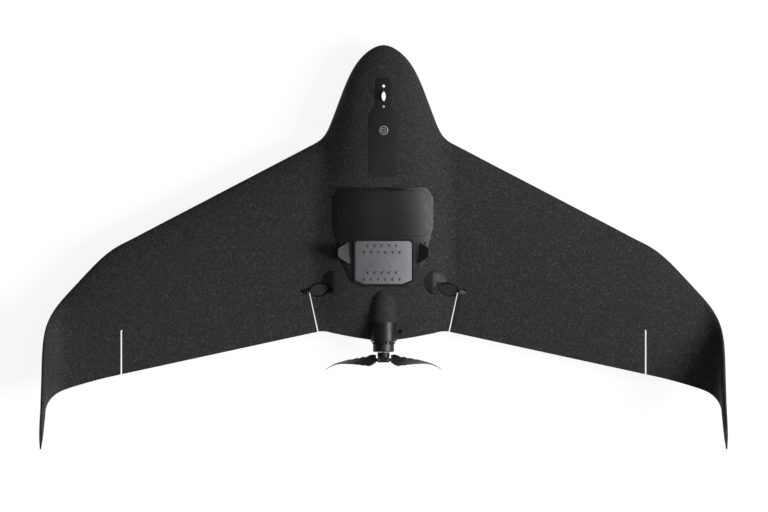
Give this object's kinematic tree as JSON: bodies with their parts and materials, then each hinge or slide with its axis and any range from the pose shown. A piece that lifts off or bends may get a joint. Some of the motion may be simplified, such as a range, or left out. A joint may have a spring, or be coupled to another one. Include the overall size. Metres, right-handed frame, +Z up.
{
  "type": "fixed wing drone",
  "caption": "Flying-wing survey drone in black foam: upswept winglets, pull-off wings, elevons, folding pusher propeller, battery hatch, studded heat sink, belly camera.",
  "frame": {"origin": "on the ground under the middle of the bounding box, level with the belly skid", "axes": "+X to the right wing tip, +Y forward to the nose, +Z up"},
  "size_m": [1.1582, 0.6806, 0.1742],
  "materials": {
    "black_foam": "moulded bead foam, matt",
    "rib_plastic": "satin",
    "carbon_tube": "woven carbon, satin",
    "servo_case": "satin",
    "cover_plastic": "satin",
    "arm_plastic": "satin",
    "deck_plastic": "satin",
    "screw_metal": "black oxide",
    "bright_metal": "bright",
    "magnet_metal": "plated",
    "battery_wrap": "heat-shrink film",
    "board_green": "solder mask",
    "controller_wrap": "heat-shrink film",
    "heat_sink_metal": "bead blasted, grey",
    "wire_sheath": "matt",
    "antenna_plastic": "satin",
    "bezel_grey": "satin",
    "button_plastic": "satin",
    "pedestal_plastic": "satin",
    "beacon_white": "frosted",
    "shroud_plastic": "satin",
    "motor_metal": "anodised black",
    "stator_metal": "copper windings",
    "hub_plastic": "satin",
    "blade_plastic": "satin",
    "camera_shell": "satin",
    "barrel_black": "satin",
    "lens_glass": "coated"
  },
  "bodies": {
    "airframe": {"fuselage_upper_foam": "black_foam", "fuselage_lower_foam": "black_foam", "left_body_rib": "rib_plastic", "right_body_rib": "rib_plastic", "left_servo": "servo_case", "right_servo": "servo_case", "left_servo_fairing": "cover_plastic", "right_servo_fairing": "cover_plastic", "left_antenna": "antenna_plastic", "right_antenna": "antenna_plastic", "main_spar": "carbon_tube", "rear_spar": "carbon_tube", "deck_frame": "deck_plastic", "deck_screws": "screw_metal", "bay_magnets": "magnet_metal", "hatch_hinge_pin": "bright_metal", "battery_pack": "battery_wrap", "main_board": "board_green", "speed_controller": "controller_wrap", "thermal_block": "heat_sink_metal", "heat_sink_plate": "heat_sink_metal", "motor_leads": "wire_sheath", "nose_panel": "deck_plastic", "power_button_bezel": "bezel_grey", "beacon_pedestal": "pedestal_plastic", "beacon_lens": "beacon_white", "beacon_screws": "bright_metal", "motor_shroud": "shroud_plastic", "motor_screws": "screw_metal", "motor_mount": "motor_metal", "motor_stator": "stator_metal", "gimbal_plate": "motor_metal", "belly_skid": "cover_plastic", "skid_screws": "screw_metal"},
    "left_wing": {"left_wing_panel": "black_foam", "left_wing_rib": "rib_plastic", "left_elevon_hinge": "black_foam"},
    "left_elevon": {"left_elevon": "black_foam", "left_elevon_horn": "arm_plastic"},
    "left_drive": {"left_drive_arm": "arm_plastic"},
    "left_blade": {"left_prop_blade": "blade_plastic"},
    "right_wing": {"right_wing_panel": "black_foam", "right_wing_rib": "rib_plastic", "right_elevon_hinge": "black_foam"},
    "right_elevon": {"right_elevon": "black_foam", "right_elevon_horn": "arm_plastic"},
    "right_drive": {"right_drive_arm": "arm_plastic"},
    "right_blade": {"right_prop_blade": "blade_plastic"},
    "rotor": {"motor_bell": "motor_metal", "magnet_ring": "magnet_metal", "motor_shaft": "bright_metal", "prop_hub": "hub_plastic", "blade_pins": "bright_metal"},
    "hatch": {"battery_hatch": "deck_plastic", "hatch_magnets": "magnet_metal"},
    "button": {"power_button": "button_plastic"},
    "yoke": {"gimbal_yoke": "motor_metal"},
    "camera": {"camera_housing": "camera_shell", "lens_barrel": "barrel_black", "lens_glass": "lens_glass"}
  },
  "joints": [
    {"name": "left_wing_slide", "type": "slide", "parent": "airframe", "child": "left_wing", "axis": [-1, 0, 0], "range_m": [0, 0.15]},
    {"name": "left_elevon_hinge", "type": "hinge", "parent": "left_wing", "child": "left_elevon", "pos_m": [-0.124, -0.075, 0.0596], "axis": [0.9792, 0.2026, -0.0068], "range_deg": [-25, 25], "deforming": ["left_elevon_hinge"]},
    {"name": "left_drive_turn", "type": "hinge", "parent": "airframe", "child": "left_drive", "pos_m": [-0.124, -0.075, 0.0596], "axis": [0.9792, 0.2026, -0.0068], "range_deg": [-25, 25]},
    {"name": "right_wing_slide", "type": "slide", "parent": "airframe", "child": "right_wing", "axis": [1, 0, 0], "range_m": [0, 0.15]},
    {"name": "right_elevon_hinge", "type": "hinge", "parent": "right_wing", "child": "right_elevon", "pos_m": [0.124, -0.075, 0.0596], "axis": [0.9792, -0.2026, 0.0068], "range_deg": [-25, 25], "deforming": ["right_elevon_hinge"]},
    {"name": "right_drive_turn", "type": "hinge", "parent": "airframe", "child": "right_drive", "pos_m": [0.124, -0.075, 0.0596], "axis": [0.9792, -0.2026, 0.0068], "range_deg": [-25, 25]},
    {"name": "rotor_spin", "type": "hinge", "parent": "airframe", "child": "rotor", "pos_m": [0, -0.16, 0.06], "axis": [0, 1, 0], "continuous": true},
    {"name": "right_blade_fold", "type": "hinge", "parent": "rotor", "child": "right_blade", "pos_m": [0.0074, -0.1905, 0.06], "axis": [0, 0, 1], "range_deg": [-75, 8]},
    {"name": "left_blade_fold", "type": "hinge", "parent": "rotor", "child": "left_blade", "pos_m": [-0.0074, -0.1905, 0.06], "axis": [0, 0, 1], "range_deg": [-8, 75]},
    {"name": "hatch_hinge", "type": "hinge", "parent": "airframe", "child": "hatch", "pos_m": [0, 0.0972, 0.09601], "axis": [-1, 0, 0], "range_deg": [0, 100]},
    {"name": "power_button_press", "type": "slide", "parent": "airframe", "child": "button", "axis": [0, 0, -1], "range_m": [0, 0.001], "stiffness_N_per_m": 400, "springref_m": -0.0005},
    {"name": "camera_pan", "type": "hinge", "parent": "airframe", "child": "yoke", "pos_m": [0, 0.168, 0.069], "axis": [0, 0, 1], "range_deg": [-90, 90]},
    {"name": "camera_tilt", "type": "hinge", "parent": "yoke", "child": "camera", "pos_m": [0, 0.168, 0.037], "axis": [1, 0, 0], "range_deg": [-20, 90]}
  ],
  "couplings": [
    {"joint": "left_drive_turn", "follows": "left_elevon_hinge", "ratio": 1},
    {"joint": "right_drive_turn", "follows": "right_elevon_hinge", "ratio": 1}
  ]
}
